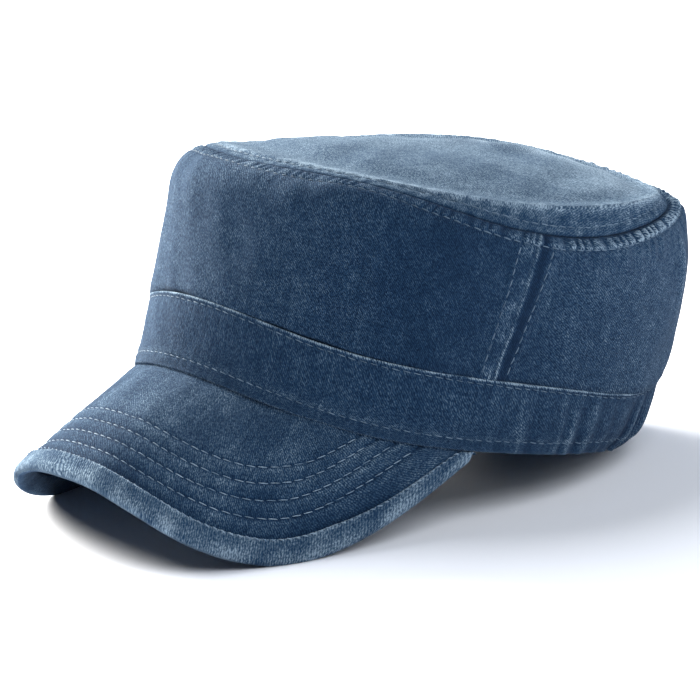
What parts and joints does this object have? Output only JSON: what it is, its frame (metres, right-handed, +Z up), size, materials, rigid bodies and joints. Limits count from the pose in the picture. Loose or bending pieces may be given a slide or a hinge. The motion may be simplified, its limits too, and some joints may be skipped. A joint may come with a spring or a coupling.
{
  "type": "cadet cap",
  "caption": "Washed cotton twill cadet cap with a flat soft top, straight crown walls, a folded band and a short arched visor with a bound edge.",
  "frame": {"origin": "on the floor the cap rests on, under the middle of its bounding box", "axes": "+Z up, the visor towards -Y, the wearer's left towards +X"},
  "size_m": [0.1744, 0.2674, 0.1278],
  "materials": {
    "crown_twill": "matt washed twill",
    "top_twill": "matt washed twill",
    "band_twill": "matt washed twill",
    "visor_twill": "matt washed twill",
    "binding_twill": "matt washed twill"
  },
  "bodies": {
    "root": {"front_panel": "crown_twill", "back_panel": "crown_twill", "top_panel": "top_twill", "band": "band_twill", "visor": "visor_twill", "visor_binding": "binding_twill"}
  },
  "joints": []
}
